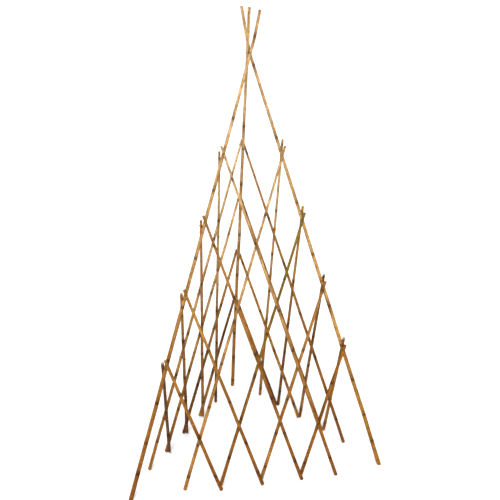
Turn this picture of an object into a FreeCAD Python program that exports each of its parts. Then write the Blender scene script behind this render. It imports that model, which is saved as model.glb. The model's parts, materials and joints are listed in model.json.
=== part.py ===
# Folding three-sided bamboo trellis (wigwam) for climbing plants.
#
# Three long tapered poles lean together, cross near their tips and are nailed there. Between each
# pair of poles lies a triangular lattice panel of eight shorter canes. Four canes start at each pole
# and run down parallel to the other pole of their panel, so that every panel folds like scissors.
# Round wire nails hold all the crossings and are the pivots of the fold.
#
# Each panel has three layers, and every cane lies on the outer side of the pole that it starts from.
# One pole of the panel, the inner one, is the first layer. The outer pole and the canes parallel to
# it, which start at the inner pole, are the second layer, just outside the panel's middle plane. The
# canes that start at the outer pole are the third layer. Every cane's straight axis is tilted by its
# own taper, so that its side lies along the layer below.
#
# Millimetres, +Z up. The origin is on the ground at the centre of the bounding box. The front panel
# faces -Y, and the back pole stands towards +Y.
import FreeCAD, Part
import math
import os
from FreeCAD import Vector

# Driving dimensions of the tripod
POLE_LENGTH = 1830.0
TIP_BEYOND_APEX = 143.0
BASE_RADIUS = 522.5
POLE_AZIMUTHS = {"left": 195.7, "right": 344.3, "back": 90.0}
TIP_TRIM = {"left": 12.0, "right": 0.0, "back": 4.0}

# Driving dimensions of the canes
POLE_TIP_RADIUS = 4.3
POLE_FOOT_RADIUS = 8.5
CANE_FOOT_RADIUS = 7.0
STUB_LENGTHS = {
    "left": (22.0, 21.0, 24.0, 26.0),
    "right": (21.0, 21.0, 26.0, 33.0),
    "back": (19.0, 19.0, 19.0, 19.0),
}
JOINT_SHARES = (0.338, 0.500, 0.658, 0.798)
STAGGER = 16.0
THIRD_LAYER_FOOT_HEIGHT = 3.0
SECOND_LAYER_FOOT_HEIGHT = 15.0

# Bamboo details: raised node rings, and the open hollow at each sawn end
RING_HEIGHT = 0.25
RING_HALF_WIDTH = 3.0
RING_SPACING = 205.0
RING_SHIFT = 47.0
FIRST_RING = 17.0
BORE_SHARE = 0.42
DIAPHRAGM = 5.0
MIN_BORE_DEPTH = 12.0
SAWING_ALLOWANCE = 10.0

# Clearance from each panel's middle plane to its canes
PLANE_GAP = {"front": 0.35, "left": 0.45, "right": 0.35}

# Round wire nails
NAIL_RADIUS = 0.9
NAIL_HEAD_RADIUS = 2.5
NAIL_HEAD_THICKNESS = 1.0
NAIL_POINT = 3.0
POINT_OUT = 5.0
POINT_OUT_OF_POLE = {"front": 1.5, "left": 1.5, "right": 5.0}
STRAY_NAIL_LENGTH = 25.0
OPEN_END_BACK = 0.7
RUNNING_CLEARANCE = 0.06
LOOSE_CLEARANCE = 1.2
HEAD_GAP = 0.3
LOOSE_HEAD_GAP = 0.6
STRAY_NAIL_HEIGHT = 45.0
STRAY_NAIL_OUT = 4.0

# Inner pole and outer pole of each panel
PANELS = {"front": ("right", "left"), "left": ("left", "back"), "right": ("back", "right")}
LOOSE_PANEL = "left"
LOWEST_CROSSING_SUM = 4
STRAY_NAIL_PANEL = "left"

UP = Vector(0, 0, 1)
FOOT_TO_APEX = POLE_LENGTH - TIP_BEYOND_APEX
APEX = Vector(0, 0, math.sqrt(FOOT_TO_APEX ** 2 - BASE_RADIUS ** 2))
TAPER = (POLE_FOOT_RADIUS - POLE_TIP_RADIUS) / POLE_LENGTH


def unit(vector):
    return vector * (1.0 / vector.Length)


def edge_direction(pole):
    """Direction from the apex down the edge where two panels' middle planes meet."""
    azimuth = math.radians(POLE_AZIMUTHS[pole])
    foot = Vector(BASE_RADIUS * math.cos(azimuth), BASE_RADIUS * math.sin(azimuth), 0)
    return unit(foot - APEX)


def panel_normal(panel):
    """Outward normal of a panel's middle plane."""
    inner, outer = PANELS[panel]
    normal = unit(edge_direction(inner).cross(edge_direction(outer)))
    middle = edge_direction(inner) + edge_direction(outer)
    outwards = Vector(middle.x, middle.y, 0)
    if normal.dot(outwards) < 0:
        normal = normal * -1.0
    return normal


def panel_where(pole, place):
    """The panel in which a pole is the inner (0) or the outer (1) one."""
    return [panel for panel in PANELS if PANELS[panel][place] == pole][0]


def pole_radius(distance):
    """Radius of a pole at a distance below the apex."""
    return POLE_TIP_RADIUS + TAPER * (distance + TIP_BEYOND_APEX)


def pole_point(pole, distance):
    """Point on a pole's axis that touches the middle planes of both of its panels."""
    edge = edge_direction(pole)
    inside_of = panel_where(pole, 0)
    outside_of = panel_where(pole, 1)
    normal_in = panel_normal(inside_of)
    normal_out = panel_normal(outside_of)
    away_in = normal_out.cross(edge)
    away_in = away_in * (-1.0 / away_in.dot(normal_in))
    away_out = edge.cross(normal_in)
    away_out = away_out * (1.0 / away_out.dot(normal_out))
    radius = pole_radius(distance)
    point = APEX + edge * distance
    point = point + away_in * (radius + PLANE_GAP[inside_of])
    return point + away_out * (radius + PLANE_GAP[outside_of])


def on_plane(panel, point):
    """A point moved square onto a panel's middle plane."""
    normal = panel_normal(panel)
    return point - normal * (point - APEX).dot(normal)


def pole_trace(panel, pole):
    """Start and direction of a pole's axis as seen square to a panel."""
    start = on_plane(panel, pole_point(pole, 0.0))
    end = on_plane(panel, pole_point(pole, FOOT_TO_APEX))
    return start, unit(end - start)


def apex_crossing(panel):
    """Where a panel's two poles cross, on its middle plane."""
    start_in, along_in = pole_trace(panel, PANELS[panel][0])
    start_out, along_out = pole_trace(panel, PANELS[panel][1])
    across = along_out.cross(panel_normal(panel))
    distance = (start_out - start_in).dot(across) / along_in.dot(across)
    return start_in + along_in * distance


class Cane:
    """A tapered cane with a straight axis from its top end to its foot."""

    def __init__(self, name, top, foot, radius_top, radius_foot):
        self.name = name
        self.top = top
        self.foot = foot
        self.radius_top = radius_top
        self.radius_foot = radius_foot
        self.holes = []
        self.nails = []
        self.length = (foot - top).Length
        self.along = unit(foot - top)

    def radius_at(self, distance):
        return self.radius_top + (self.radius_foot - self.radius_top) * distance / self.length

    def distance_of(self, point):
        return (point - self.top).dot(self.along)

    def axis_point(self, point):
        """Point of the axis abreast of another point."""
        return self.top + self.along * self.distance_of(point)

    def radius_near(self, point):
        return self.radius_at(self.distance_of(point))

    def rings(self):
        """Distances of the node rings from the top end, different for each cane."""
        phase = sum(ord(letter) for letter in self.name) % 4
        distances = []
        distance = FIRST_RING + RING_SHIFT * (phase + 1)
        while distance < self.length - RING_SHIFT:
            distances.append(distance)
            distance += RING_SPACING - RING_SHIFT * ((phase + len(distances)) % 3) * 0.5
        return distances

    def solid(self):
        rings = self.rings()
        bore_top = self.radius_top * BORE_SHARE
        bore_foot = self.radius_foot * BORE_SHARE
        floor_top = max(MIN_BORE_DEPTH, rings[0] - DIAPHRAGM)
        floor_foot = min(self.length - MIN_BORE_DEPTH, rings[-1] + DIAPHRAGM)
        outline = [Vector(0, 0, floor_top), Vector(bore_top, 0, floor_top)]
        outline += [Vector(bore_top, 0, 0), Vector(self.radius_top, 0, 0)]
        for ring in rings:
            before = ring - RING_HALF_WIDTH
            after = ring + RING_HALF_WIDTH
            outline.append(Vector(self.radius_at(before), 0, before))
            outline.append(Vector(self.radius_at(ring) + RING_HEIGHT, 0, ring))
            outline.append(Vector(self.radius_at(after), 0, after))
        outline += [Vector(self.radius_foot, 0, self.length), Vector(bore_foot, 0, self.length)]
        outline += [Vector(bore_foot, 0, floor_foot), Vector(0, 0, floor_foot)]
        outline.append(outline[0])
        face = Part.Face(Part.makePolygon(outline))
        solid = face.revolve(Vector(0, 0, 0), UP, 360)
        solid.Placement = FreeCAD.Placement(self.top, FreeCAD.Rotation(UP, self.along))
        drills = [drill(self, point, normal, radius) for point, normal, radius in self.holes]
        return solid.cut(drills)


def drill(cane, point, normal, radius):
    """Cylinder that drills a nail hole through a cane."""
    reach = 2.0 * cane.radius_near(point)
    start = point + normal * (height_above(cane, point, normal) - reach)
    return Part.makeCylinder(radius, 2.0 * reach, start, normal)


def nail(head_seat, outwards, length):
    """A round nail whose head rests at head_seat and whose shank points away from outwards."""
    shank_end = NAIL_POINT - length
    outline = [Vector(0, 0, NAIL_HEAD_THICKNESS), Vector(NAIL_HEAD_RADIUS, 0, NAIL_HEAD_THICKNESS)]
    outline += [Vector(NAIL_HEAD_RADIUS, 0, 0), Vector(NAIL_RADIUS, 0, 0)]
    outline += [Vector(NAIL_RADIUS, 0, shank_end), Vector(0, 0, -length)]
    outline.append(outline[0])
    solid = Part.Face(Part.makePolygon(outline)).revolve(Vector(0, 0, 0), UP, 360)
    solid.Placement = FreeCAD.Placement(head_seat, FreeCAD.Rotation(UP, outwards))
    return solid


def height_above(cane, point, normal):
    """Height of a cane's axis above a point of a panel's middle plane."""
    return (cane.axis_point(point) - point).dot(normal)


def join(panel, inner, outer, point, held_by_inner=True):
    """Nail two members together where they cross, with the head outside and the point inside."""
    normal = panel_normal(panel)
    loose = panel == LOOSE_PANEL
    near = height_above(inner, point, normal) - inner.radius_near(point)
    far = height_above(outer, point, normal) + outer.radius_near(point)
    seat = far + (LOOSE_HEAD_GAP if loose and held_by_inner else HEAD_GAP)
    point_out = POINT_OUT_OF_POLE[panel] if inner.name.endswith("_pole") else POINT_OUT
    length = math.ceil(seat - near + point_out)
    holder = inner if held_by_inner else outer
    turner = outer if held_by_inner else inner
    holder.holes.append((point, normal, NAIL_RADIUS))
    turner.holes.append((point, normal, NAIL_RADIUS + (LOOSE_CLEARANCE if loose else RUNNING_CLEARANCE)))
    holder.nails.append(nail(point + normal * seat, normal, length))


def join_open(panel, outer, point):
    """Nail that stays in the outer member and stops short of the inner one: the open pivot."""
    normal = panel_normal(panel)
    radius = outer.radius_near(point)
    seat = height_above(outer, point, normal) + radius + HEAD_GAP
    outer.holes.append((point, normal, NAIL_RADIUS))
    length = 2.0 * radius + HEAD_GAP - OPEN_END_BACK
    outer.nails.append(nail(point + normal * seat, normal, length))


def add_stray_nail(panel, cane):
    """Left-over nail near the foot of a cane, with no partner."""
    normal = panel_normal(panel)
    point = on_plane(panel, cane.foot - cane.along * STRAY_NAIL_HEIGHT)
    seat = height_above(cane, point, normal) + CANE_FOOT_RADIUS + STRAY_NAIL_OUT
    cane.holes.append((point, normal, NAIL_RADIUS))
    cane.nails.append(nail(point + normal * seat, normal, STRAY_NAIL_LENGTH))


def make_pole(pole):
    top_distance = TIP_TRIM[pole] - TIP_BEYOND_APEX
    top = pole_point(pole, top_distance)
    foot = pole_point(pole, FOOT_TO_APEX + SAWING_ALLOWANCE)
    radius_foot = pole_radius(FOOT_TO_APEX + SAWING_ALLOWANCE)
    return Cane(pole + "_pole", top, foot, pole_radius(top_distance), radius_foot)


def joint_distance(panel, pole, level):
    """Distance down a pole, from the apex to the cane that starts at a joint level."""
    distance = FOOT_TO_APEX * (1.0 - JOINT_SHARES[level - 1])
    if pole == PANELS[panel][1]:
        distance -= STAGGER
    return distance


def joint_point(panel, pole, level):
    """Where a lattice cane crosses the pole that it starts from, on the middle plane."""
    along = pole_trace(panel, pole)[1]
    return apex_crossing(panel) + along * joint_distance(panel, pole, level)


def make_cane(panel, pole, level):
    """A lattice cane from one pole of a panel, parallel to the panel's other pole."""
    inner_pole, outer_pole = PANELS[panel]
    is_third_layer = pole == outer_pole
    partner = inner_pole if is_third_layer else outer_pole
    along = pole_trace(panel, partner)[1]
    stub = STUB_LENGTHS[pole][level - 1]
    top = joint_point(panel, pole, level) - along * stub
    foot_height = THIRD_LAYER_FOOT_HEIGHT if is_third_layer else SECOND_LAYER_FOOT_HEIGHT
    length = (top.z - foot_height) / -along.z
    foot = top + along * length
    radius_top = CANE_FOOT_RADIUS - TAPER * length
    gap = PLANE_GAP[panel]
    top_out = radius_top + gap
    foot_out = CANE_FOOT_RADIUS + gap
    if is_third_layer:
        top_out += 2.0 * (pole_radius(joint_distance(panel, pole, level) - stub) + gap)
        foot_out += 2.0 * (CANE_FOOT_RADIUS + gap)
    normal = panel_normal(panel)
    name = panel + "_panel_" + pole + "_cane_" + str(level)
    return Cane(name, top + normal * top_out, foot + normal * foot_out, radius_top, CANE_FOOT_RADIUS)


def crossing_point(panel, inner_level, outer_level):
    """Crossing of the canes at two joint levels, from the inner and from the outer pole."""
    inner_pole, outer_pole = PANELS[panel]
    point = joint_point(panel, inner_pole, inner_level)
    return point + joint_point(panel, outer_pole, outer_level) - apex_crossing(panel)


def build_panel(panel, poles):
    """Make a panel's eight canes and drive all of its nails."""
    inner_pole, outer_pole = PANELS[panel]
    levels = range(1, len(JOINT_SHARES) + 1)
    second_layer = {level: make_cane(panel, inner_pole, level) for level in levels}
    third_layer = {level: make_cane(panel, outer_pole, level) for level in levels}
    loose = panel == LOOSE_PANEL
    if not loose:
        join(panel, poles[inner_pole], poles[outer_pole], apex_crossing(panel))
    for level in levels:
        join(panel, poles[inner_pole], second_layer[level], joint_point(panel, inner_pole, level))
        point = joint_point(panel, outer_pole, level)
        if loose:
            join_open(panel, third_layer[level], point)
        else:
            join(panel, poles[outer_pole], third_layer[level], point)
        for other in levels:
            if level + other >= LOWEST_CROSSING_SUM:
                point = crossing_point(panel, level, other)
                join(panel, second_layer[level], third_layer[other], point, held_by_inner=not loose)
    if panel == STRAY_NAIL_PANEL:
        add_stray_nail(panel, second_layer[levels[-1]])
    return list(second_layer.values()) + list(third_layer.values())


def saw_level(solid):
    """Cut off whatever reaches below the ground, so that a pole has a flat foot."""
    size = 4.0 * BASE_RADIUS
    below = Part.makeBox(size, size, size, Vector(-size / 2, -size / 2, -size))
    return solid.cut(below)


def build_shapes():
    """All sub-parts by node name, in a frame with its origin below the apex."""
    poles = {pole: make_pole(pole) for pole in POLE_AZIMUTHS}
    canes = list(poles.values())
    for panel in PANELS:
        canes += build_panel(panel, poles)
    shapes = {}
    for cane in canes:
        solid = cane.solid()
        if cane in poles.values():
            solid = saw_level(solid)
        shapes[cane.name] = solid
        if cane.nails:
            shapes[cane.name + "_nails"] = Part.makeCompound(cane.nails)
    return shapes


def centre_shift(shapes):
    """Move that brings the centre of the bounding box over the origin."""
    box = Part.makeCompound(list(shapes.values())).optimalBoundingBox(False, False)
    return Vector(-box.Center.x, -box.Center.y, 0)


os.makedirs("parts", exist_ok=True)
SHAPES = build_shapes()
SHIFT = centre_shift(SHAPES)
for node, shape in SHAPES.items():
    shape.translate(SHIFT)
    shape.exportStep("parts/" + node + ".step")
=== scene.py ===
"""Looks of the folding bamboo wigwam trellis: bamboo canes and galvanised wire nails.

Every cane and every group of nails is measured from its CAD node, rebuilt in more detail in the
same place, and rides on the same body. Lengths are in metres.
"""

import json
import math
import random
import zlib

import bpy
import numpy as np
from mathutils import Matrix, Vector, noise


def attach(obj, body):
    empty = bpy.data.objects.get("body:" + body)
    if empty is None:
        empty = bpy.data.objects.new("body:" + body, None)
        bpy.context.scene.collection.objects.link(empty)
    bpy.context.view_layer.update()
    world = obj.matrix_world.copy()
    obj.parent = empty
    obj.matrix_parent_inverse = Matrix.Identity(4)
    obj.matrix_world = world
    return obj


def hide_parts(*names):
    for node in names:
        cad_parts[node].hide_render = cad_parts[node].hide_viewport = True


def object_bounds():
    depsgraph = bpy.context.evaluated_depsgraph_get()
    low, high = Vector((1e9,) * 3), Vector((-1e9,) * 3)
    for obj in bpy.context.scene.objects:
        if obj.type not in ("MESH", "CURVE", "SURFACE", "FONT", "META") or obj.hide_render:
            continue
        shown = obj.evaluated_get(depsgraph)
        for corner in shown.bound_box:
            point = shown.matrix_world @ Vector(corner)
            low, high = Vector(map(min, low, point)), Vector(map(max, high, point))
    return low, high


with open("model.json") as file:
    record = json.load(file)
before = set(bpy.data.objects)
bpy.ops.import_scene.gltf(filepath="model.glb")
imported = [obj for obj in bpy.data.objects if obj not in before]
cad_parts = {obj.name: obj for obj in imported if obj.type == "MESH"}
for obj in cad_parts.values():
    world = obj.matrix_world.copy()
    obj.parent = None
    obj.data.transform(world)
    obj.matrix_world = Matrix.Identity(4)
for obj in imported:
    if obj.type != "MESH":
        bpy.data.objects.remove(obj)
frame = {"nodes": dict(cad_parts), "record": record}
CAD_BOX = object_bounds()

MM = 0.001

# Camera: where it stands round the trellis, and how it is aimed
CAMERA_AZIMUTH = math.radians(-9.445)
CAMERA_ELEVATION = math.radians(21.395)
CAMERA_DISTANCE = 2.0116
CAMERA_TARGET_HEIGHT = 0.9365
CAMERA_TARGET_SIDE = -0.0061
CAMERA_ROLL = -0.008
CAMERA_LENS = 40.32
CAMERA_SENSOR = 36.0

# Backdrop: the height of its bright band above the horizon, and of where that has faded
BACKDROP_TOP = math.radians(8)
BACKDROP_FADED = math.radians(17)

# Measuring: how deep the slices at the ends of canes and nails are
CANE_RIM_SLICE = 0.3 * MM
GROUND_SLICE = 0.05 * MM
NAIL_END_SLICE = 0.5 * MM
HEAD_TOP_SLICE = 0.1 * MM
SHANK_FROM_HEAD = 1.5 * MM
SHANK_FROM_TIP = 1.0 * MM
HEAD_EDGE_SHARE = 0.9

# A nail crosses a cane when it is not parallel to it and passes this close to its middle
LEAST_CROSSING_SINE = 0.2
CROSSING_MISS = 2 * MM

# Cane meshes
SEGMENTS = 28
RING_STEP = 24 * MM
NODE_PROFILE = (-9, -5, -3, -1.8, -1.0, -0.4, 0.2, 0.8, 1.6, 2.6, 3.8, 5.2, 7.5, 11)
STAIN_PROFILE = (-10, -6.1, -3.1, 0, 3.1, 6.1, 10)
NODE_SPACING_FOOT = 150 * MM
NODE_SPACING_TOP = 230 * MM
NODE_SPACING_SPREAD = (0.85, 1.15)
NODE_CLEAR_OF_NAIL = 13 * MM
FIRST_NODE_SHARES = (0.3, 0.9)
TOP_WITHOUT_NODES = 22 * MM
PLAIN_RINGS_FROM_NODE = 14 * MM
RINGS_NEAR_TOP = (4 * MM, 9 * MM, 15 * MM)
RINGS_FROM_ENDS = 1 * MM
WAVE_SHARE = 0.012
WAVES_LENGTHWISE = 9.0
WAVES_ROUND = 0.6
NODE_REACH = 240 * MM
GROOVE_DEPTH = 0.32 * MM
GROOVE_START = 4 * MM
GROOVE_FADE_IN = 10 * MM
GROOVE_LENGTH = 120 * MM
GROOVE_SHARPNESS = 10
BUD_SHARPNESS = 14
BUD_SCATTER = 0.4
KINK_SHARE = 0.014
KINK_MOST = 3.2 * MM
KINK_SPREAD = (0.5, 1.0)
KINK_BLEND = 16 * MM
KINK_BLEND_SHARE = 0.25
TIP_LEAN = {"right_pole": (21 * MM, 0.0), "left_pole": (-6 * MM, 0.0)}
BORE_SHARE = 0.42
BORE_DEPTH = 26 * MM
DIAPHRAGM_SHARE = 0.25
RIM_CHAMFER = 0.35 * MM
RIM_SHRINK = 0.12 * MM
SHARP_EDGE_DEGREES = 38

# What a node adds to a cane's radius: its height, how far it lies above the node, and its width
SCAR = (0.30 * MM, -0.2 * MM, 0.55 * MM)
NECK = (-0.12 * MM, 1.3 * MM, 0.7 * MM)
RIDGE = (0.28 * MM, 3.2 * MM, 2.4 * MM)
BUD = (0.45 * MM, 2.2 * MM, 2.0 * MM)

# Material slots of a cane, and how far its hollow is darkened by painted shade in the cut material
SKIN_SLOT = 0
CUT_SLOT = 1
HOLLOW_SHADE_MARK = 0.6

# Dark weathering: the share of nodes that have it, the least and greatest length of each kind of
# patch in millimetres, and the marks of each node's scar and the band above it
STAINED_NODES = 0.6
NODE_STAIN = (12, 45)
NAIL_STAIN = (4, 9)
END_STAIN = (9, 16)
STAIN_TURN = 3
STAIN_ALL_ROUND = 0.45
RING_WIDTH = 3.2 * MM
BAND_STRENGTH = 0.75
BAND_ABOVE = 3 * MM
BAND_WIDTH = 7.5 * MM
PATCH_LEAST = 0.80
PATCH_RANGE = 0.40
PATCHES_LENGTHWISE = 3.5

# Nail meshes
NAIL_SEGMENTS = 14
HEAD_DOME = 0.25 * MM
POINT_LENGTH = 3.2 * MM
OPEN_POINT_OUT = 5 * MM
GRIP_RINGS = 3
GRIP_FIRST = 1.0 * MM
GRIP_STEP = 0.9 * MM
GRIP_WIDTH = 0.5 * MM
GRIP_WAIST = 0.93

# Studio floor: its size, and how far it lies below the ground so that no faces coincide
FLOOR_SIZE = 120.0
FLOOR_DROP = 0.4 * MM

# Bamboo tones as a person would call them, in sRGB
TONES = {
    "peach": (0.79, 0.64, 0.45),
    "golden": (0.69, 0.51, 0.25),
    "tan": (0.66, 0.48, 0.27),
    "orange": (0.59, 0.39, 0.14),
    "olive": (0.51, 0.43, 0.16),
    "umber": (0.45, 0.30, 0.17),
}

# Noise in the cane materials: scale across the cane, scale along it, detail and roughness
FIBRES = (2600, 22, 3.0, 0.6)
STREAKS = (520, 6, 4.0, 0.6)
PATCHES = (110, 18, 3.0, 0.55)
MOTTLE = (190, 75, 3.0, 0.6)
SPECKS = (700, 320, 2.0, 0.5)
GRIME = (240, 240, 3.0, 0.6)

# The skin's marks, as factors on the linear red, green and blue of a cane's own tint
LIGHTER = (1.55, 1.58, 1.50, 1)
BROWNER = (0.50, 0.38, 0.22, 1)
DARKEST = (0.16, 0.10, 0.06, 1)

# Linear colours of specks, of the sawn ends, of the painted shade in the hollows, and of the wire
SPECK_COLOUR = (0.035, 0.018, 0.009, 1)
PITH_COLOUR = (0.62, 0.46, 0.27, 1)
BUNDLE_COLOUR = (0.12, 0.065, 0.03, 1)
GRIME_COLOUR = (0.16, 0.10, 0.055, 1)
HOLLOW_SHADE_COLOUR = (0.07, 0.04, 0.022, 1)
ZINC_COLOURS = ((0.10, 0.09, 0.085, 1), (0.22, 0.20, 0.18, 1))
RUST_COLOURS = ((0.020, 0.010, 0.005, 1), (0.085, 0.036, 0.015, 1))

# Bump heights of the materials
SKIN_RELIEF = 0.12 * MM
CUT_RELIEF = 0.2 * MM
WIRE_RELIEF = 0.1 * MM

# How sun high up and damp low down have changed the tones, as shares of linear red, green and blue
SUN_BLEACHED = Vector((0.74, 0.77, 0.80))
EARTH_STAINED = Vector((0.58, 0.50, 0.26))
BLEACHED_ABOVE = 1.35

# Tone of each cane at its top and at its foot
CANE_TONES = {
    "left_pole": ("peach", "orange"),
    "right_pole": ("peach", "golden"),
    "back_pole": ("peach", "tan"),
    "front_panel_left_cane_1": ("golden", "orange"),
    "front_panel_left_cane_2": ("golden", "orange"),
    "front_panel_left_cane_3": ("tan", "orange"),
    "front_panel_left_cane_4": ("peach", "orange"),
    "front_panel_right_cane_1": ("orange", "orange"),
    "front_panel_right_cane_2": ("tan", "tan"),
    "front_panel_right_cane_3": ("olive", "orange"),
    "front_panel_right_cane_4": ("peach", "tan"),
    "left_panel_left_cane_1": ("umber", "umber"),
    "left_panel_left_cane_2": ("tan", "umber"),
    "left_panel_left_cane_3": ("tan", "tan"),
    "left_panel_left_cane_4": ("peach", "umber"),
    "left_panel_back_cane_1": ("umber", "tan"),
    "left_panel_back_cane_2": ("tan", "umber"),
    "left_panel_back_cane_3": ("peach", "tan"),
    "left_panel_back_cane_4": ("peach", "tan"),
    "right_panel_right_cane_1": ("tan", "golden"),
    "right_panel_right_cane_2": ("umber", "tan"),
    "right_panel_right_cane_3": ("golden", "umber"),
    "right_panel_right_cane_4": ("peach", "tan"),
    "right_panel_back_cane_1": ("golden", "umber"),
    "right_panel_back_cane_2": ("golden", "tan"),
    "right_panel_back_cane_3": ("tan", "tan"),
    "right_panel_back_cane_4": ("tan", "orange"),
}


# ---------------------------------------------------------------- small helpers

def linear(colour):
    """An sRGB colour as the linear numbers that shaders use."""
    return tuple(c / 12.92 if c <= 0.04045 else ((c + 0.055) / 1.055) ** 2.4 for c in colour)


def seeded(name):
    """A random stream that depends only on a name."""
    return random.Random(zlib.crc32(name.encode()))


def smooth(value):
    value = min(1.0, max(0.0, value))
    return value * value * (3.0 - 2.0 * value)


def bell(distance, width):
    return math.exp(-((distance / width) ** 2))


def swelling(above, feature):
    """What a node's feature adds to the radius at a height above the node."""
    height, place, width = feature
    return height * bell(above - place, width)


def placed(origin, along):
    """The matrix that puts a shape's Z axis along a line from an origin."""
    return Matrix.Translation(origin) @ along.to_track_quat("Z", "Y").to_matrix().to_4x4()


def inside_cad_box(point):
    """A point, moved back into the CAD model's box if it lies just outside."""
    low, high = CAD_BOX
    return Vector([min(max(value, least), most) for value, least, most in zip(point, low, high)])


def is_pole(node):
    return node.endswith("_pole")


def node_points(node):
    """A CAD node's vertices as rows of a table."""
    return np.array([vertex.co for vertex in frame["nodes"][node].data.vertices])


def box_middle(points):
    return (points.min(0) + points.max(0)) / 2


def longest_direction(points):
    """The direction in which points spread the most, with either sign."""
    return np.linalg.svd(points - points.mean(0), full_matrices=False)[2][0]


# ---------------------------------------------------------------- measuring the frame

class CaneAxis:
    """A cane's straight axis, from its top centre to its foot centre, and its end radii."""

    def __init__(self, node):
        points = node_points(node)
        along = longest_direction(points)
        if along[2] > 0:
            along = -along
        reach = points @ along
        top_rim = points[reach < reach.min() + CANE_RIM_SLICE]
        foot_rim = points[reach > reach.max() - CANE_RIM_SLICE]
        if is_pole(node):
            foot_rim = points[points[:, 2] < GROUND_SLICE]
        self.top = Vector(box_middle(top_rim))
        self.foot = Vector(box_middle(foot_rim))
        self.length = (self.foot - self.top).length
        self.along = (self.foot - self.top) / self.length
        self.radius_top = self.widest(top_rim)
        self.radius_foot = self.widest(foot_rim)
        self.matrix = placed(self.top, self.along)

    def widest(self, points):
        return max((Vector(p) - self.top).cross(self.along).length for p in points)

    def radius(self, distance):
        share = min(1.0, max(0.0, distance / self.length))
        return self.radius_top + (self.radius_foot - self.radius_top) * share


class NailAxis:
    """A nail's axis from the top of its head to its point."""

    def __init__(self, points):
        along = longest_direction(points)
        reach = points @ along
        low_end = self.width(points[reach < reach.min() + NAIL_END_SLICE])
        high_end = self.width(points[reach > reach.max() - NAIL_END_SLICE])
        if high_end > low_end:
            reach = -reach
        self.head = Vector(box_middle(points[reach < reach.min() + HEAD_TOP_SLICE]))
        self.tip = Vector(points[reach.argmax()])
        self.length = (self.tip - self.head).length
        self.along = (self.tip - self.head) / self.length
        self.matrix = placed(self.head, self.along)
        self.measure_thickness(points, reach)

    def measure_thickness(self, points, reach):
        """Radii of head and shank, and the thickness of the head."""
        first = reach.min() + SHANK_FROM_HEAD
        last = reach.max() - SHANK_FROM_TIP
        off = [(Vector(point) - self.head).cross(self.along).length for point in points]
        self.head_radius = max(off)
        self.radius = max(out for out, place in zip(off, reach) if first < place < last)
        edge = HEAD_EDGE_SHARE * self.head_radius
        self.head_thickness = max(place for out, place in zip(off, reach) if out > edge) - reach.min()

    @staticmethod
    def width(points):
        return float(np.ptp(points, axis=0).max()) if len(points) else 0.0


def islands(mesh):
    """The vertex numbers of each separate solid in a mesh, joined by position."""
    parent = list(range(len(mesh.vertices)))

    def root(index):
        while parent[index] != index:
            parent[index] = parent[parent[index]]
            index = parent[index]
        return index

    seen = {}
    for vertex in mesh.vertices:
        key = tuple(round(c, 6) for c in vertex.co)
        parent[root(vertex.index)] = root(seen.setdefault(key, vertex.index))
    for edge in mesh.edges:
        parent[root(edge.vertices[0])] = root(edge.vertices[1])
    groups = {}
    for vertex in mesh.vertices:
        groups.setdefault(root(vertex.index), []).append(vertex.index)
    return sorted(groups.values())


def crossings(axis, nails):
    """Distances along a cane at which nails cross it."""
    found = []
    for nail in nails:
        middle = (nail.head + nail.tip) / 2
        side = nail.along.cross(axis.along)
        if side.length < LEAST_CROSSING_SINE:
            continue
        apart = abs((middle - axis.top).dot(side.normalized()))
        distance = (middle - axis.top).dot(axis.along)
        off = (middle - axis.top - axis.along * distance).length
        if apart < CROSSING_MISS and off < nail.length and 0 < distance < axis.length:
            found.append(distance)
    return sorted(found)


# ---------------------------------------------------------------- canes

def node_distances(axis, holes, stream):
    """Where the bamboo's nodes lie: closer together towards the foot, and clear of the nails."""
    distances = []
    distance = axis.length - stream.uniform(*FIRST_NODE_SHARES) * NODE_SPACING_FOOT
    while distance > TOP_WITHOUT_NODES:
        near = [hole for hole in holes if abs(hole - distance) < NODE_CLEAR_OF_NAIL]
        if near:
            distance = near[0] - NODE_CLEAR_OF_NAIL
        distances.append(distance)
        share = 1.0 - distance / axis.length
        spacing = NODE_SPACING_FOOT + (NODE_SPACING_TOP - NODE_SPACING_FOOT) * smooth(share * 1.3)
        distance -= spacing * stream.uniform(*NODE_SPACING_SPREAD)
    return sorted(distances)


def cane_stations(axis, nodes, holes):
    """Distances of all vertex rings along a cane."""
    stations = {0.0, axis.length}
    count = int(axis.length / RING_STEP)
    for index in range(1, count):
        distance = axis.length * index / count
        if all(abs(distance - node) > PLAIN_RINGS_FROM_NODE for node in nodes):
            stations.add(distance)
    extra = [node - offset * MM for node in nodes for offset in NODE_PROFILE]
    extra += [hole + offset * MM for hole in holes for offset in STAIN_PROFILE]
    extra += RINGS_NEAR_TOP
    last = axis.length - RINGS_FROM_ENDS
    stations.update(distance for distance in extra if RINGS_FROM_ENDS < distance < last)
    return sorted(stations)


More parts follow.
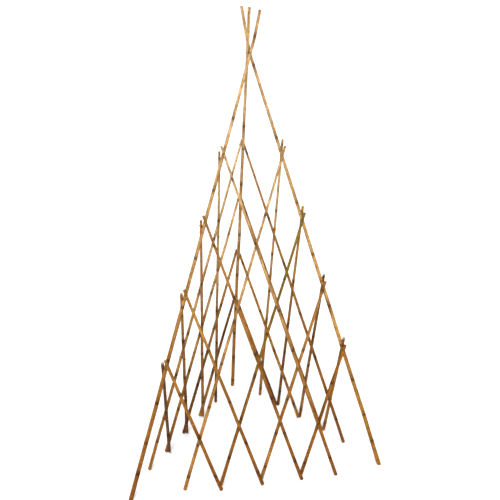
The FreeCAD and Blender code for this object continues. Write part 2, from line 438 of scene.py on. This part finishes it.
def cane_line(name, axis, holes, nodes, stream):
    """Sideways offset of the cane's middle: kinks at the nodes, none at the nails, leaning tips."""
    fixed = sorted([0.0] + holes + [axis.length])
    stops = {distance: (0.0, 0.0) for distance in fixed}
    for node in nodes:
        reach = min(abs(node - distance) for distance in fixed)
        turn = stream.uniform(0, 2 * math.pi)
        size = min(KINK_MOST, KINK_SHARE * reach) * stream.uniform(*KINK_SPREAD)
        stops[node] = (size * math.cos(turn), size * math.sin(turn))
    if name in TIP_LEAN:
        lean = axis.matrix.to_3x3().inverted() @ Vector((*TIP_LEAN[name], 0.0))
        stops[0.0] = (lean.x, lean.y)
    places = sorted(stops)
    table_x = [stops[place][0] for place in places]
    table_y = [stops[place][1] for place in places]

    def offset(distance):
        around = [distance - KINK_BLEND, distance, distance + KINK_BLEND]
        hold = min(1.0, min(abs(distance - place) for place in fixed) / KINK_BLEND)
        beside = KINK_BLEND_SHARE * hold
        shares = (beside, 1.0 - 2 * beside, beside)
        x = sum(share * value for share, value in zip(shares, np.interp(around, places, table_x)))
        y = sum(share * value for share, value in zip(shares, np.interp(around, places, table_y)))
        return float(x), float(y)

    return offset


def weathered_places(nodes, holes, stream):
    """(distance, length, side) of each dark patch: at some nodes, round the nails, on the top end."""
    def patch(distance, lengths):
        return distance, stream.uniform(*lengths) * MM, stream.uniform(-STAIN_TURN, STAIN_TURN)

    places = [patch(node, NODE_STAIN) for node in nodes if stream.random() < STAINED_NODES]
    places += [patch(hole, NAIL_STAIN) for hole in holes]
    places.append(patch(0.0, END_STAIN))
    return places


class Culm:
    """The shape and the weathering of one cane, drawn from the cane's own random stream."""

    def __init__(self, name, axis, holes):
        stream = seeded(name)
        self.axis = axis
        self.nodes = node_distances(axis, holes, stream)
        self.buds = [
            stream.uniform(-BUD_SCATTER, BUD_SCATTER) + math.pi * (index % 2)
            for index in range(len(self.nodes))
        ]
        self.sideways = cane_line(name, axis, holes, self.nodes, stream)
        self.noise_offset = stream.uniform(0, 100)
        self.patches = weathered_places(self.nodes, holes, stream)
        self.top_tone, self.foot_tone = (Vector(linear(TONES[tone])) for tone in CANE_TONES[name])
        self.stations = cane_stations(axis, self.nodes, holes)

    def radius(self, distance, angle):
        """Radius of the outer skin."""
        wave = Vector((self.noise_offset, distance * WAVES_LENGTHWISE, math.cos(angle) * WAVES_ROUND))
        radius = self.axis.radius(distance)
        radius *= 1.0 + WAVE_SHARE * noise.noise(wave)
        for node, bud in zip(self.nodes, self.buds):
            above = node - distance
            if abs(above) < NODE_REACH:
                facing = max(0.0, math.cos(angle - bud))
                radius += swelling(above, SCAR) + swelling(above, NECK) + swelling(above, RIDGE)
                radius += facing ** BUD_SHARPNESS * swelling(above, BUD)
                if above > GROOVE_START:
                    begun = smooth((above - GROOVE_START) / GROOVE_FADE_IN)
                    fade = begun * (1 - smooth(above / GROOVE_LENGTH))
                    radius -= GROOVE_DEPTH * facing ** GROOVE_SHARPNESS * fade
        return radius

    def ring_mark(self, distance):
        """How strongly a sheath scar or the band above it darkens the skin."""
        scars = [bell(node - distance, RING_WIDTH) for node in self.nodes]
        bands = [BAND_STRENGTH * bell(node - distance - BAND_ABOVE, BAND_WIDTH) for node in self.nodes]
        return max([0.0] + scars + bands)

    def stain(self, distance, angle):
        """Dark weathering, mostly on one side of the cane."""
        amount = 0.0
        for place, length, side in self.patches:
            away = abs(distance - place) / length
            around = STAIN_ALL_ROUND + (1.0 - STAIN_ALL_ROUND) * max(0.0, math.cos(angle - side))
            amount = max(amount, around * math.exp(-away * away * 2))
        return amount

    def tint(self, distance, height):
        """The skin's own colour, changed by damp near the ground and by sun higher up."""
        share = smooth(distance / self.axis.length)
        place = Vector((self.noise_offset * 3, distance * PATCHES_LENGTHWISE, 7.0))
        patch = 0.5 + 0.5 * noise.noise(place)
        tone = self.top_tone.lerp(self.foot_tone, share) * (PATCH_LEAST + PATCH_RANGE * patch)
        return tone * EARTH_STAINED.lerp(SUN_BLEACHED, smooth(height / BLEACHED_ABOVE))


class CaneMesh:
    """Rings of vertices along a culm, joined into one closed surface with the shaders' attributes."""

    def __init__(self, culm, stands_on_ground):
        self.culm = culm
        self.stands_on_ground = stands_on_ground
        self.vertices = []
        self.faces = []
        self.materials = []
        self.starts = []
        self.values = {"ring": [], "stain": [], "grain": [], "tint": []}

    def level_with_ground(self, spot):
        """Shears a point of a pole's foot along the pole, so that the sawn end lies on the ground."""
        axis = self.culm.axis
        world = axis.matrix @ spot
        spot.z += world.z / -axis.along.z

    def add_ring(self, distance, radius_of, mark=0.0, at_foot=False):
        """A ring of vertices at a distance along the cane, and the attributes of each of them."""
        culm = self.culm
        self.starts.append(len(self.vertices))
        x, y = culm.sideways(distance)
        for index in range(SEGMENTS):
            angle = 2 * math.pi * index / SEGMENTS
            radius = radius_of(angle)
            spot = Vector((x + radius * math.cos(angle), y + radius * math.sin(angle), distance))
            if at_foot and self.stands_on_ground:
                self.level_with_ground(spot)
            self.vertices.append(inside_cad_box(culm.axis.matrix @ spot))
            self.values["ring"].append(mark)
            self.values["stain"].append(culm.stain(distance, angle))
            self.values["grain"].extend((spot.x, spot.y, spot.z + culm.noise_offset))
            self.values["tint"].extend((*culm.tint(distance, self.vertices[-1].z), 1.0))

    def add_top_end(self):
        """From the diaphragm up the hollow and out over the sawn rim."""
        bore = self.culm.axis.radius_top * BORE_SHARE
        # the rings deep in the bore carry painted shade, which fades out towards the rim
        self.add_ring(BORE_DEPTH, lambda angle: DIAPHRAGM_SHARE * bore, HOLLOW_SHADE_MARK)
        self.add_ring(BORE_DEPTH, lambda angle: bore, HOLLOW_SHADE_MARK)
        self.add_ring(0.0, lambda angle: bore)
        self.add_ring(0.0, lambda angle: self.culm.axis.radius_top - RIM_CHAMFER)

    def add_skin(self):
        """All rings of the outer skin, as the range of their numbers."""
        culm = self.culm
        first = len(self.starts)
        for distance in culm.stations:
            at_foot = distance == culm.axis.length
            shrink = RIM_SHRINK if at_foot or distance == 0.0 else 0.0
            self.add_ring(
                distance,
                lambda angle, d=distance, s=shrink: culm.radius(d, angle) - s,
                culm.ring_mark(distance),
                at_foot,
            )
        return range(first, len(self.starts) - 1)

    def add_foot_end(self):
        """From the sawn rim back in to the diaphragm."""
        axis = self.culm.axis
        bore = axis.radius_foot * BORE_SHARE
        inside = axis.length - BORE_DEPTH
        self.add_ring(axis.length, lambda angle: axis.radius_foot - RIM_CHAMFER, at_foot=True)
        self.add_ring(axis.length, lambda angle: bore, at_foot=True)
        # the rings deep in the bore carry painted shade, which fades out towards the rim
        self.add_ring(inside, lambda angle: bore, HOLLOW_SHADE_MARK)
        self.add_ring(inside, lambda angle: DIAPHRAGM_SHARE * bore, HOLLOW_SHADE_MARK)

    def add_faces(self, skin):
        """Joins the rings and closes both ends: skin where the rings are the skin's, else cut wood."""
        for index, (first, second) in enumerate(zip(self.starts, self.starts[1:])):
            self.faces += band_faces(first, second, SEGMENTS)
            self.materials += [SKIN_SLOT if index in skin else CUT_SLOT] * SEGMENTS
        self.faces += end_faces(self.starts[0], self.starts[-1], SEGMENTS)
        self.materials += [CUT_SLOT, CUT_SLOT]

    def build(self, name):
        mesh = smooth_mesh(name, self.vertices, self.faces)
        mesh.polygons.foreach_set("material_index", self.materials)
        add_values(mesh, "ring", "FLOAT", self.values["ring"])
        add_values(mesh, "stain", "FLOAT", self.values["stain"])
        add_values(mesh, "grain", "FLOAT_VECTOR", self.values["grain"], "vector")
        add_values(mesh, "tint", "FLOAT_COLOR", self.values["tint"], "color")
        mesh.update()
        mark_sharp_edges(mesh)
        return mesh


def band_faces(first, second, count):
    """The faces between two rings, given by the numbers of their first vertices."""
    turns = [(index, (index + 1) % count) for index in range(count)]
    return [(first + here, first + after, second + after, second + here) for here, after in turns]


def end_faces(first, last, count):
    """The two faces that close the first and the last ring."""
    return [list(range(first, first + count))[::-1], list(range(last, last + count))]


def smooth_mesh(name, vertices, faces):
    mesh = bpy.data.meshes.new(name)
    mesh.from_pydata(vertices, [], faces)
    mesh.polygons.foreach_set("use_smooth", [True] * len(faces))
    return mesh


def add_values(mesh, name, kind, values, field="value"):
    """A named attribute with a value for every vertex."""
    mesh.attributes.new(name, kind, "POINT").data.foreach_set(field, values)


def add_object(name, data):
    """An object with its mesh, light or camera data, in the scene."""
    new = bpy.data.objects.new(name, data)
    bpy.context.scene.collection.objects.link(new)
    return new


def make_cane(name, axis, holes):
    """A bamboo cane: nodes with sheath scars and buds, grooved internodes and hollow sawn ends."""
    shape = CaneMesh(Culm(name, axis, holes), stands_on_ground=is_pole(name))
    shape.add_top_end()
    skin = shape.add_skin()
    shape.add_foot_end()
    shape.add_faces(skin)
    return add_object(name + "_bamboo", shape.build(name + "_cane"))


def mark_sharp_edges(mesh):
    """Keep the sawn rims crisp while the skin stays smooth."""
    normals = [polygon.normal.copy() for polygon in mesh.polygons]
    users = {}
    for polygon in mesh.polygons:
        for key in polygon.edge_keys:
            users.setdefault(key, []).append(polygon.index)
    sharp = []
    limit = math.cos(math.radians(SHARP_EDGE_DEGREES))
    for edge in mesh.edges:
        sides = users[tuple(sorted(edge.vertices))]
        sharp.append(len(sides) == 2 and normals[sides[0]].dot(normals[sides[1]]) < limit)
    data = mesh.attributes.new("sharp_edge", "BOOLEAN", "EDGE")
    data.data.foreach_set("value", sharp)


# ---------------------------------------------------------------- nails

def nail_profile(nail):
    """(distance, radius, rust) of each vertex ring of a nail, from its head to its point."""
    under = nail.head_thickness
    point = nail.length - POINT_LENGTH
    rows = [
        (0.0, nail.head_radius * 0.35, 0.1),
        (HEAD_DOME * 0.4, nail.head_radius * 0.75, 0.1),
        (HEAD_DOME, nail.head_radius * 0.96, 0.15),
        (HEAD_DOME * 2, nail.head_radius, 0.25),
        (under * 0.8, nail.head_radius, 0.3),
        (under, nail.head_radius * 0.94, 0.4),
        (under, nail.radius * 1.02, 0.4),
    ]
    for index in range(GRIP_RINGS):
        groove = under + GRIP_FIRST + GRIP_STEP * index
        if groove + GRIP_WIDTH < point:
            rows.append((groove, nail.radius, 0.3))
            rows.append((groove + GRIP_WIDTH / 2, nail.radius * GRIP_WAIST, 0.5))
            rows.append((groove + GRIP_WIDTH, nail.radius, 0.3))
    rows.append((point - 0.2 * MM, nail.radius, 0.5))
    return rows + point_rows(nail)


def point_rows(nail):
    """The last rows of a nail's profile, tapering to its point."""
    point = nail.length - POINT_LENGTH
    return [
        (point, nail.radius, 0.7),
        (point + POINT_LENGTH * 0.7, nail.radius * 0.42, 0.95),
        (nail.length, nail.radius * 0.05, 1.0),
    ]


def make_nails(name, nails, profile_of=nail_profile):
    """One piece with all the nails that a body holds."""
    vertices, faces, rust = [], [], []
    for nail in nails:
        starts = []
        for distance, radius, mark in profile_of(nail):
            starts.append(len(vertices))
            for index in range(NAIL_SEGMENTS):
                angle = 2 * math.pi * index / NAIL_SEGMENTS
                spot = Vector((radius * math.cos(angle), radius * math.sin(angle), distance))
                vertices.append(inside_cad_box(nail.matrix @ spot))
                rust.append(mark)
        for first, second in zip(starts, starts[1:]):
            faces += band_faces(first, second, NAIL_SEGMENTS)
        faces += end_faces(starts[0], starts[-1], NAIL_SEGMENTS)
    mesh = smooth_mesh(name, vertices, faces)
    add_values(mesh, "rust", "FLOAT", rust)
    mesh.update()
    mark_sharp_edges(mesh)
    return add_object(name, mesh)


def open_point_profile(nail):
    """The profile of an open pivot's nail point, from the pole's middle to the tip."""
    return [(0.0, nail.radius * 0.9, 0.4)] + point_rows(nail)


class OpenPoint:
    """The far end of an open pivot's nail, which stays in the pole."""

    def __init__(self, nail, axis):
        side = nail.along.cross(axis.along).cross(axis.along)
        reach = (axis.top - nail.head).dot(side) / nail.along.dot(side)
        self.head = nail.head + nail.along * reach
        self.radius = nail.radius
        self.length = axis.radius((self.head - axis.top).dot(axis.along)) + OPEN_POINT_OUT
        self.matrix = placed(self.head, nail.along)


def ends_inside(nail, axis):
    """Whether a nail stops within the cane that holds it."""
    along = (nail.tip - axis.top).dot(axis.along)
    apart = (nail.tip - axis.top - axis.along * along).length
    return apart < axis.radius(along)


def next_pole(nail, axes):
    """The pole that a nail's line passes closest to."""
    def miss(pole):
        across = nail.along.cross(axes[pole].along).normalized()
        return abs((nail.tip - axes[pole].top).dot(across))

    return min(filter(is_pole, axes), key=miss)


# ---------------------------------------------------------------- materials

class Nodes:
    """Short names for building a material's node tree."""

    def __init__(self, name):
        self.material = bpy.data.materials.new(name)
        self.material.use_nodes = True
        self.tree = self.material.node_tree
        self.shader = self.tree.nodes["Principled BSDF"]

    def add(self, kind, inputs=(), **settings):
        node = self.tree.nodes.new("ShaderNode" + kind)
        for key, value in settings.items():
            setattr(node, key, value)
        for key, value in dict(inputs).items():
            self.feed(node.inputs[key], value)
        return node

    def feed(self, socket, value):
        if isinstance(value, bpy.types.NodeSocket):
            self.tree.links.new(value, socket)
        else:
            socket.default_value = value

    def attribute(self, name):
        return self.add("Attribute", attribute_name=name)

    def stretched_noise(self, across, lengthwise, detail=4.0, roughness=0.55, on_grain=True):
        """Noise of a scale across and along a cane, or in space where there is no grain."""
        if on_grain:
            place = self.attribute("grain").outputs["Vector"]
        else:
            place = self.add("TexCoord").outputs["Object"]
        mapped = self.add("Mapping", {"Vector": place, "Scale": (across, across, lengthwise)})
        return self.add(
            "TexNoise",
            {"Vector": mapped.outputs[0], "Scale": 1.0, "Detail": detail, "Roughness": roughness},
        ).outputs["Fac"]

    def ramp(self, factor, low, high, low_value=0.0, high_value=1.0):
        return self.add(
            "MapRange",
            {"Value": factor, "From Min": low, "From Max": high, "To Min": low_value, "To Max": high_value},
        ).outputs[0]

    def mix(self, factor, first, second, blend="MIX"):
        node = self.tree.nodes.new("ShaderNodeMix")
        node.data_type = "RGBA"
        node.blend_type = blend
        self.feed(node.inputs[0], factor)
        self.feed(node.inputs[6], first)
        self.feed(node.inputs[7], second)
        return node.outputs[2]

    def math(self, operation, first, second):
        node = self.tree.nodes.new("ShaderNodeMath")
        node.operation = operation
        self.feed(node.inputs[0], first)
        self.feed(node.inputs[1], second)
        return node.outputs[0]

    def surface(self, **sockets):
        for key, value in sockets.items():
            self.feed(self.shader.inputs[key.replace("_", " ")], value)

    def bump(self, height, strength, distance):
        node = self.add("Bump", {"Height": height, "Strength": strength, "Distance": distance})
        self.tree.links.new(node.outputs[0], self.shader.inputs["Normal"])


def grey(value):
    return (value, value, value, 1.0)


def bamboo_skin():
    """Waxy tan culm skin: fibre streaks, weathered patches, specks, and dark rings at the nodes."""
    b = Nodes("bamboo_skin")
    tint = b.attribute("tint").outputs["Color"]
    ring = b.attribute("ring").outputs["Fac"]
    stain = b.attribute("stain").outputs["Fac"]
    fibres = b.stretched_noise(*FIBRES)
    streaks = b.stretched_noise(*STREAKS)
    patches = b.stretched_noise(*PATCHES)
    mottle = b.stretched_noise(*MOTTLE)
    specks = b.stretched_noise(*SPECKS)
    lighter = b.mix(1.0, tint, LIGHTER, "MULTIPLY")
    browner = b.mix(1.0, tint, BROWNER, "MULTIPLY")
    darkest = b.mix(1.0, tint, DARKEST, "MULTIPLY")
    colour = b.mix(b.ramp(streaks, 0.40, 0.66), b.mix(0.45, tint, browner), tint)
    colour = b.mix(b.ramp(patches, 0.50, 0.70, 0.0, 0.8), colour, lighter)
    colour = b.mix(b.ramp(patches, 0.47, 0.30, 0.0, 0.85), colour, browner)
    colour = b.mix(b.ramp(fibres, 0.35, 0.65, 0.30, 0.0), colour, browner)
    colour = b.mix(b.ramp(mottle, 0.48, 0.36, 0.0, 0.75), colour, browner)
    colour = b.mix(b.ramp(mottle, 0.56, 0.66, 0.0, 0.60), colour, lighter)
    worn = b.math("MULTIPLY", stain, b.ramp(streaks, 0.30, 0.58, 0.35, 1.0))
    colour = b.mix(b.math("MULTIPLY", worn, 0.85), colour, darkest)
    colour = b.mix(b.ramp(specks, 0.64, 0.70, 0.0, 0.8), colour, SPECK_COLOUR)
    ring_mark = b.math("MULTIPLY", ring, b.ramp(streaks, 0.25, 0.6, 0.8, 1.0))
    colour = b.mix(ring_mark, colour, darkest)
    rough = b.ramp(patches, 0.3, 0.7, 0.62, 0.46)
    b.surface(Base_Color=colour, Roughness=b.math("ADD", rough, b.math("MULTIPLY", ring, 0.25)))
    b.surface(Specular_IOR_Level=0.07)
    b.bump(b.math("ADD", fibres, b.math("MULTIPLY", streaks, 1.6)), 0.35, SKIN_RELIEF)
    return b.material


def bamboo_cut():
    """Sawn end and inner wall: pale pith with dark fibre bundles and dusty grime, and painted shade
    deepening down the hollow.
    """
    b = Nodes("bamboo_cut")
    tint = b.attribute("tint").outputs["Color"]
    hollow = b.attribute("ring").outputs["Fac"]
    grain = b.attribute("grain").outputs["Vector"]
    mapped = b.add("Mapping", {"Vector": grain, "Scale": (1.0, 1.0, 0.02)})
    bundles = b.add("TexVoronoi", {"Vector": mapped.outputs[0], "Scale": 1700.0}).outputs["Distance"]
    pale = b.mix(0.55, tint, PITH_COLOUR)
    colour = b.mix(b.ramp(bundles, 0.16, 0.30, 0.75, 0.0), pale, BUNDLE_COLOUR)
    grime = b.stretched_noise(*GRIME)
    colour = b.mix(b.ramp(grime, 0.45, 0.75, 0.0, 0.6), colour, GRIME_COLOUR)
    # painted shade down the hollow, darkest at the diaphragm
    colour = b.mix(hollow, colour, HOLLOW_SHADE_COLOUR)
    b.surface(Base_Color=colour, Roughness=0.82, Specular_IOR_Level=0.25)
    b.bump(b.math("ADD", bundles, grime), 0.5, CUT_RELIEF)
    return b.material


def galvanised_nail():
    """Weathered wire: dull grey zinc left in flecks, brown rust over the rest."""
    b = Nodes("galvanised_nail")
    rust = b.attribute("rust").outputs["Fac"]
    spangle = b.stretched_noise(1500, 1500, 3.0, 0.6, False)
    blotch = b.stretched_noise(420, 420, 3.0, 0.6, False)
    zinc = b.mix(b.ramp(spangle, 0.35, 0.65), *ZINC_COLOURS)
    brown = b.mix(b.ramp(spangle, 0.35, 0.65), *RUST_COLOURS)
    amount = b.ramp(b.math("ADD", rust, blotch), 0.40, 0.75)
    b.surface(Base_Color=b.mix(amount, zinc, brown))
    b.surface(Metallic=b.ramp(amount, 0.0, 1.0, 0.85, 0.1))
    b.surface(Roughness=b.ramp(amount, 0.0, 1.0, 0.42, 0.8))
    b.bump(spangle, 0.25, WIRE_RELIEF)
    return b.material


def floor_material():
    """Plain white studio floor with the faintest mottle."""
    b = Nodes("studio_floor")
    mottle = b.stretched_noise(3, 3, 4.0, 0.5, False)
    b.surface(Base_Color=b.mix(mottle, grey(0.90), grey(0.94)), Roughness=0.75, Specular_IOR_Level=0.2)
    return b.material


# ---------------------------------------------------------------- studio

def add_floor():
    mesh = bpy.data.meshes.new("floor")
    half = FLOOR_SIZE / 2
    corners = [(-half, -half, 0), (half, -half, 0), (half, half, 0), (-half, half, 0)]
    mesh.from_pydata(corners, [], [(0, 1, 2, 3)])
    mesh.materials.append(floor_material())
    floor = add_object("floor", mesh)
    floor.location.z = -FLOOR_DROP


def add_soft_sun(name, azimuth, elevation, spread, strength, colour):
    """A very broad distant light, as even as a large softbox: all angles in degrees."""
    light = bpy.data.lights.new(name, "SUN")
    light.angle = math.radians(spread)
    light.energy = strength
    light.color = colour
    turn, rise = math.radians(azimuth), math.radians(elevation)
    towards = Vector((math.sin(turn) * math.cos(rise), -math.cos(turn) * math.cos(rise), math.sin(rise)))
    lamp = add_object(name, light)
    lamp.rotation_euler = (-towards).to_track_quat("-Z", "Y").to_euler()


def add_world(overhead, horizon):
    """Even light from above, and a bright band round the horizon as of a white backdrop."""
    world = bpy.data.worlds.new("studio")
    world.use_nodes = True
    tree = world.node_tree
    place = tree.nodes.new("ShaderNodeTexCoord")
    parts = tree.nodes.new("ShaderNodeSeparateXYZ")
    band = tree.nodes.new("ShaderNodeMapRange")
    band.inputs["From Min"].default_value = math.sin(BACKDROP_TOP)
    band.inputs["From Max"].default_value = math.sin(BACKDROP_FADED)
    band.inputs["To Min"].default_value = horizon
    band.inputs["To Max"].default_value = overhead
    tree.links.new(place.outputs["Generated"], parts.inputs[0])
    tree.links.new(parts.outputs["Z"], band.inputs["Value"])
    tree.links.new(band.outputs[0], tree.nodes["Background"].inputs["Strength"])
    tree.nodes["Background"].inputs["Color"].default_value = (1.0, 1.0, 1.0, 1.0)
    bpy.context.scene.world = world


def add_camera(middle):
    """The camera looks down at the trellis from in front and slightly to its left."""
    back = Vector((
        math.sin(CAMERA_AZIMUTH) * math.cos(CAMERA_ELEVATION),
        -math.cos(CAMERA_AZIMUTH) * math.cos(CAMERA_ELEVATION),
        math.sin(CAMERA_ELEVATION),
    ))
    right = Vector((math.cos(CAMERA_AZIMUTH), math.sin(CAMERA_AZIMUTH), 0.0))
    data = bpy.data.cameras.new("camera")
    data.lens = CAMERA_LENS
    data.sensor_width = CAMERA_SENSOR
    camera = add_object("camera", data)
    target = Vector((middle.x, middle.y, CAMERA_TARGET_HEIGHT)) + right * CAMERA_TARGET_SIDE
    camera.location = target + back * CAMERA_DISTANCE
    camera.rotation_mode = "QUATERNION"
    camera.rotation_quaternion = (-back).to_track_quat("-Z", "Y")
    camera.rotation_quaternion.rotate(Matrix.Rotation(CAMERA_ROLL, 4, back).to_quaternion())
    bpy.context.scene.camera = camera


def apex_of(axes):
    """Where the poles come closest to crossing, seen from above."""
    left, right = axes["left_pole"], axes["right_pole"]
    normal = left.along.cross(right.along)
    across = right.along.cross(normal)
    reach = (right.top - left.top).dot(across) / left.along.dot(across)
    return left.top + left.along * reach


# ---------------------------------------------------------------- build

bodies = frame["record"]["behaviour"]["bodies"]
body_of = {node: body for body, nodes in bodies.items() for node in nodes}
nail_nodes = [node for node in frame["nodes"] if node.endswith("_nails")]
cane_nodes = [node for node in frame["nodes"] if not node.endswith("_nails")]

cane_axes = {node: CaneAxis(node) for node in cane_nodes}
nail_axes = {}
for node in nail_nodes:
    mesh = frame["nodes"][node].data
    points = node_points(node)
    nail_axes[node] = [NailAxis(points[island]) for island in islands(mesh)]
all_nails = [nail for nails in nail_axes.values() for nail in nails]

add_camera(apex_of(cane_axes))

skin = bamboo_skin()
cut = bamboo_cut()
steel = galvanised_nail()

for node in cane_nodes:
    piece = make_cane(node, cane_axes[node], crossings(cane_axes[node], all_nails))
    piece.data.materials.append(skin)
    piece.data.materials.append(cut)
    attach(piece, body_of[node])
    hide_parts(node)

for node in nail_nodes:
    piece = make_nails(node + "_wire", nail_axes[node])
    piece.data.materials.append(steel)
    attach(piece, body_of[node])
    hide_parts(node)

for node in nail_nodes:
    holder = node.removesuffix("_nails")
    for nail in nail_axes[node]:
        if ends_inside(nail, cane_axes[holder]):
            pole = next_pole(nail, cane_axes)
            point = OpenPoint(nail, cane_axes[pole])
            piece = make_nails(holder + "_nail_point", [point], open_point_profile)
            piece.data.materials.append(steel)
            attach(piece, body_of[pole])

add_floor()
add_world(overhead=0.24, horizon=1.15)
add_soft_sun("key", azimuth=-14, elevation=42, spread=44, strength=4.3, colour=(1.0, 0.99, 0.97))
add_soft_sun("overhead", azimuth=40, elevation=84, spread=70, strength=1.3, colour=(0.99, 0.99, 1.0))
bpy.context.scene.view_settings.view_transform = "Standard"
